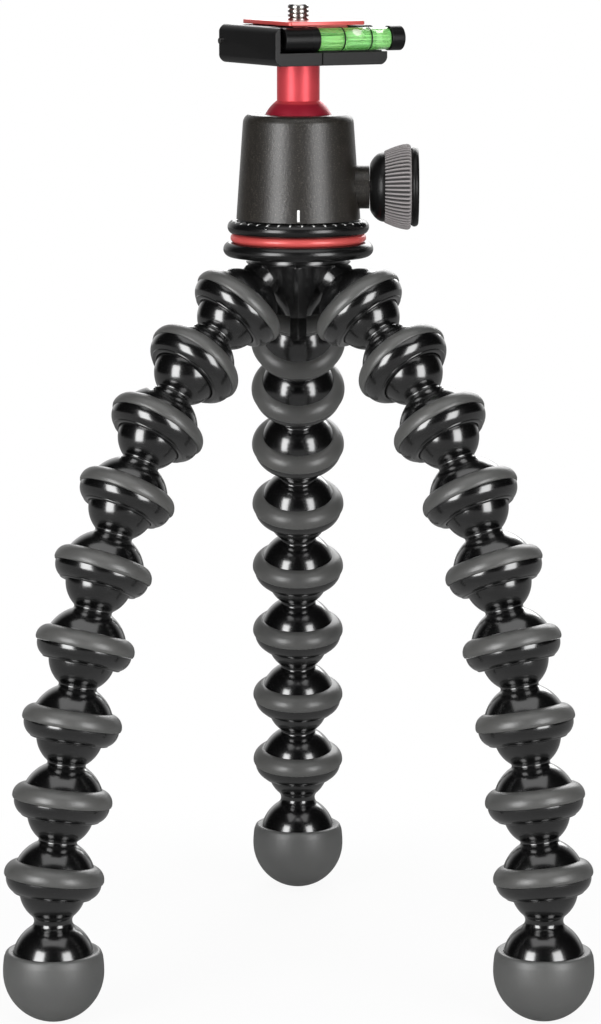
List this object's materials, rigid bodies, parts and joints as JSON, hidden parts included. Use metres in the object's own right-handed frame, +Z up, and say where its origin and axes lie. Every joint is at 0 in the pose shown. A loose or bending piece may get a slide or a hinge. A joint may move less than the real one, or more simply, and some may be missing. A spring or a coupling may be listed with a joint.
{
  "type": "flexible leg tripod",
  "caption": "Small camera stand with flexible legs of ball-and-socket links and grip rings under a turning ball head with a lock knob, a level and a quick release plate.",
  "frame": {"origin": "where the camera screw leaves the plate's top face", "axes": "+Z up along the camera screw, -Y to the front of the picture, +X to the right towards the lock knob"},
  "size_m": [0.1764, 0.1866, 0.2989],
  "materials": {
    "link_black": "glossy black moulding",
    "grip_rubber": "matte grey rubber",
    "boot_rubber": "matte grey rubber",
    "base_black": "satin black anodised",
    "red_anodised": "satin red anodised",
    "housing_coat": "fine grained charcoal coat",
    "clamp_black": "satin black anodised",
    "knob_black": "smooth black",
    "knob_rubber": "ribbed grey brown rubber",
    "steel": "plain bright steel",
    "nylon": "natural white",
    "brass": "plain",
    "vial_black": "smooth black",
    "vial_clear": "clear",
    "vial_green": "clear green fluid",
    "vial_air": "air"
  },
  "bodies": {
    "base": {"crown": "link_black", "crown_collars": "link_black", "crown_grip_rings": "grip_rubber", "crown_bolt": "steel", "base_flange": "base_black", "accent_ring": "red_anodised", "scale_ring": "base_black", "slip_washer": "nylon", "pan_clip": "steel"},
    "housing": {"ball_housing": "housing_coat", "housing_plug": "steel", "ball_cup": "nylon", "knob_bush": "brass"},
    "lock_knob": {"knob_core": "knob_black", "knob_grip": "knob_rubber", "knob_cap": "knob_black", "lock_screw": "steel"},
    "wedge": {"lock_wedge": "brass"},
    "ball": {"head_ball": "red_anodised"},
    "clamp": {"clamp_body": "clamp_black", "clamp_bolt": "steel", "guide_pins": "steel"},
    "jaw": {"clamp_jaw": "clamp_black", "vial_holder": "vial_black", "vial_tube": "vial_clear", "vial_fluid": "vial_green", "vial_bubble": "vial_air", "vial_rings": "vial_black", "vial_cap": "vial_black"},
    "jaw_knob": {"clamp_knob": "knob_black", "clamp_screw": "steel"},
    "plate": {"quick_plate": "red_anodised"},
    "screw": {"camera_screw": "steel"},
    "left_link_1": {"left_link_1": "link_black"},
    "left_link_2": {"left_link_2": "link_black"},
    "left_link_3": {"left_link_3": "link_black"},
    "left_link_4": {"left_link_4": "link_black"},
    "left_link_5": {"left_link_5": "link_black"},
    "left_link_6": {"left_link_6": "link_black"},
    "left_link_7": {"left_link_7": "link_black"},
    "left_link_8": {"left_link_8": "link_black"},
    "left_foot": {"left_foot": "boot_rubber"},
    "right_link_1": {"right_link_1": "link_black"},
    "right_link_2": {"right_link_2": "link_black"},
    "right_link_3": {"right_link_3": "link_black"},
    "right_link_4": {"right_link_4": "link_black"},
    "right_link_5": {"right_link_5": "link_black"},
    "right_link_6": {"right_link_6": "link_black"},
    "right_link_7": {"right_link_7": "link_black"},
    "right_link_8": {"right_link_8": "link_black"},
    "right_foot": {"right_foot": "boot_rubber"},
    "rear_link_1": {"rear_link_1": "link_black"},
    "rear_link_2": {"rear_link_2": "link_black"},
    "rear_link_3": {"rear_link_3": "link_black"},
    "rear_link_4": {"rear_link_4": "link_black"},
    "rear_link_5": {"rear_link_5": "link_black"},
    "rear_link_6": {"rear_link_6": "link_black"},
    "rear_link_7": {"rear_link_7": "link_black"},
    "rear_link_8": {"rear_link_8": "link_black"},
    "rear_foot": {"rear_foot": "boot_rubber"}
  },
  "joints": [
    {"name": "pan_turn", "type": "hinge", "parent": "base", "child": "housing", "pos_m": [0, 0, -0.06], "axis": [0, 0, 1], "continuous": true},
    {"name": "ball_tilt", "type": "hinge", "parent": "housing", "child": "ball", "pos_m": [0, 0, -0.0332], "axis": [-1, 0, 0], "range_deg": [-28, 90]},
    {"name": "ball_spin", "type": "hinge", "parent": "ball", "child": "clamp", "pos_m": [0, 0, -0.013], "axis": [0, 0, 1], "continuous": true},
    {"name": "lock_knob_turn", "type": "hinge", "parent": "housing", "child": "lock_knob", "pos_m": [0.022, 0, -0.05042], "axis": [1, 0, 0], "range_deg": [0, 540.5]},
    {"name": "wedge_slide", "type": "slide", "parent": "housing", "child": "wedge", "axis": [-1, 0, 0], "range_m": [0, 0.0015]},
    {"name": "jaw_knob_turn", "type": "hinge", "parent": "jaw", "child": "jaw_knob", "pos_m": [0.01259, 0.02085, -0.0077], "axis": [0.8829, 0.4695, 0], "range_deg": [0, 900.5]},
    {"name": "jaw_slide", "type": "slide", "parent": "clamp", "child": "jaw", "axis": [0.8829, 0.4695, 0], "range_m": [0, 0.0025]},
    {"name": "plate_slide", "type": "slide", "parent": "clamp", "child": "plate", "axis": [-0.4695, 0.8829, 0], "range_m": [0, 0.02]},
    {"name": "camera_screw_turn", "type": "hinge", "parent": "plate", "child": "screw", "pos_m": [0, 0, 0], "axis": [0, 0, 1], "continuous": true},
    {"name": "left_joint_1", "type": "hinge", "parent": "base", "child": "left_link_1", "pos_m": [-0.0207, -0.01195, -0.0889], "axis": [-0.682, 0.7314, 0], "range_deg": [-33.9, 23.4]},
    {"name": "left_joint_2", "type": "hinge", "parent": "left_link_1", "child": "left_link_2", "pos_m": [-0.03341, -0.0238, -0.10427], "axis": [-0.5703, -0.5318, 0.6261], "range_deg": [-28.5, 28.5]},
    {"name": "left_joint_3", "type": "hinge", "parent": "left_link_2", "child": "left_link_3", "pos_m": [-0.04403, -0.03371, -0.12236], "axis": [0.682, -0.7314, 0], "range_deg": [-38.5, 21.5]},
    {"name": "left_joint_4", "type": "hinge", "parent": "left_link_3", "child": "left_link_4", "pos_m": [-0.05257, -0.04167, -0.14241], "axis": [0.6733, 0.6279, -0.3904], "range_deg": [-29.2, 29.2]},
    {"name": "left_joint_5", "type": "hinge", "parent": "left_link_4", "child": "left_link_5", "pos_m": [-0.0592, -0.04785, -0.16377], "axis": [-0.682, 0.7314, 0], "range_deg": [-24.1, 35.9]},
    {"name": "left_joint_6", "type": "hinge", "parent": "left_link_5", "child": "left_link_6", "pos_m": [-0.06417, -0.05249, -0.18595], "axis": [-0.714, -0.6658, 0.2167], "range_deg": [-29.7, 29.7]},
    {"name": "left_joint_7", "type": "hinge", "parent": "left_link_6", "child": "left_link_7", "pos_m": [-0.06785, -0.05592, -0.2086], "axis": [0.682, -0.7314, 0], "range_deg": [-33, 27]},
    {"name": "left_joint_8", "type": "hinge", "parent": "left_link_7", "child": "left_link_8", "pos_m": [-0.07065, -0.05853, -0.23148], "axis": [0.7237, 0.6749, -0.1444], "range_deg": [-30, 30]},
    {"name": "left_joint_9", "type": "hinge", "parent": "left_link_8", "child": "left_foot", "pos_m": [-0.0731, -0.06082, -0.25443], "axis": [-0.682, 0.7314, 0], "range_deg": [-21.7, 38.3]},
    {"name": "right_joint_1", "type": "hinge", "parent": "base", "child": "right_link_1", "pos_m": [0.0207, -0.01195, -0.0889], "axis": [-0.682, -0.7314, 0], "range_deg": [-33.9, 23.4]},
    {"name": "right_joint_2", "type": "hinge", "parent": "right_link_1", "child": "right_link_2", "pos_m": [0.03341, -0.0238, -0.10427], "axis": [0.5703, -0.5318, 0.6261], "range_deg": [-28.5, 28.5]},
    {"name": "right_joint_3", "type": "hinge", "parent": "right_link_2", "child": "right_link_3", "pos_m": [0.04403, -0.03371, -0.12236], "axis": [0.682, 0.7314, 0], "range_deg": [-38.5, 21.5]},
    {"name": "right_joint_4", "type": "hinge", "parent": "right_link_3", "child": "right_link_4", "pos_m": [0.05257, -0.04167, -0.14241], "axis": [-0.6733, 0.6279, -0.3904], "range_deg": [-29.2, 29.2]},
    {"name": "right_joint_5", "type": "hinge", "parent": "right_link_4", "child": "right_link_5", "pos_m": [0.0592, -0.04785, -0.16377], "axis": [-0.682, -0.7314, 0], "range_deg": [-24.1, 35.9]},
    {"name": "right_joint_6", "type": "hinge", "parent": "right_link_5", "child": "right_link_6", "pos_m": [0.06417, -0.05249, -0.18595], "axis": [0.714, -0.6658, 0.2167], "range_deg": [-29.7, 29.7]},
    {"name": "right_joint_7", "type": "hinge", "parent": "right_link_6", "child": "right_link_7", "pos_m": [0.06785, -0.05592, -0.2086], "axis": [0.682, 0.7314, 0], "range_deg": [-33, 27]},
    {"name": "right_joint_8", "type": "hinge", "parent": "right_link_7", "child": "right_link_8", "pos_m": [0.07065, -0.05853, -0.23148], "axis": [-0.7237, 0.6749, -0.1444], "range_deg": [-30, 30]},
    {"name": "right_joint_9", "type": "hinge", "parent": "right_link_8", "child": "right_foot", "pos_m": [0.0731, -0.06082, -0.25443], "axis": [-0.682, -0.7314, 0], "range_deg": [-21.7, 38.3]},
    {"name": "rear_joint_1", "type": "hinge", "parent": "base", "child": "rear_link_1", "pos_m": [0, 0.0239, -0.0889], "axis": [1, 0, 0], "range_deg": [-34.5, 25.4]},
    {"name": "rear_joint_2", "type": "hinge", "parent": "rear_link_1", "child": "rear_link_2", "pos_m": [0, 0.04128, -0.10427], "axis": [0, 0.7798, 0.6261], "range_deg": [-28.5, 28.5]},
    {"name": "rear_joint_3", "type": "hinge", "parent": "rear_link_2", "child": "rear_link_3", "pos_m": [0, 0.0558, -0.12236], "axis": [-1, 0, 0], "range_deg": [-38.5, 21.5]},
    {"name": "rear_joint_4", "type": "hinge", "parent": "rear_link_3", "child": "rear_link_4", "pos_m": [0, 0.06748, -0.14241], "axis": [0, -0.9206, -0.3904], "range_deg": [-29.2, 29.2]},
    {"name": "rear_joint_5", "type": "hinge", "parent": "rear_link_4", "child": "rear_link_5", "pos_m": [0, 0.07654, -0.16377], "axis": [1, 0, 0], "range_deg": [-24.1, 35.9]},
    {"name": "rear_joint_6", "type": "hinge", "parent": "rear_link_5", "child": "rear_link_6", "pos_m": [0, 0.08334, -0.18595], "axis": [0, 0.9762, 0.2167], "range_deg": [-29.7, 29.7]},
    {"name": "rear_joint_7", "type": "hinge", "parent": "rear_link_6", "child": "rear_link_7", "pos_m": [0, 0.08837, -0.2086], "axis": [-1, 0, 0], "range_deg": [-33, 27]},
    {"name": "rear_joint_8", "type": "hinge", "parent": "rear_link_7", "child": "rear_link_8", "pos_m": [0, 0.0922, -0.23148], "axis": [0, -0.9895, -0.1444], "range_deg": [-30, 30]},
    {"name": "rear_joint_9", "type": "hinge", "parent": "rear_link_8", "child": "rear_foot", "pos_m": [0, 0.09555, -0.25443], "axis": [1, 0, 0], "range_deg": [-21.7, 38.3]}
  ],
  "couplings": [
    {"joint": "lock_knob_turn", "follows": "wedge_slide", "rad_per_m": 6283.2},
    {"joint": "jaw_knob_turn", "follows": "jaw_slide", "rad_per_m": 6283.2}
  ]
}
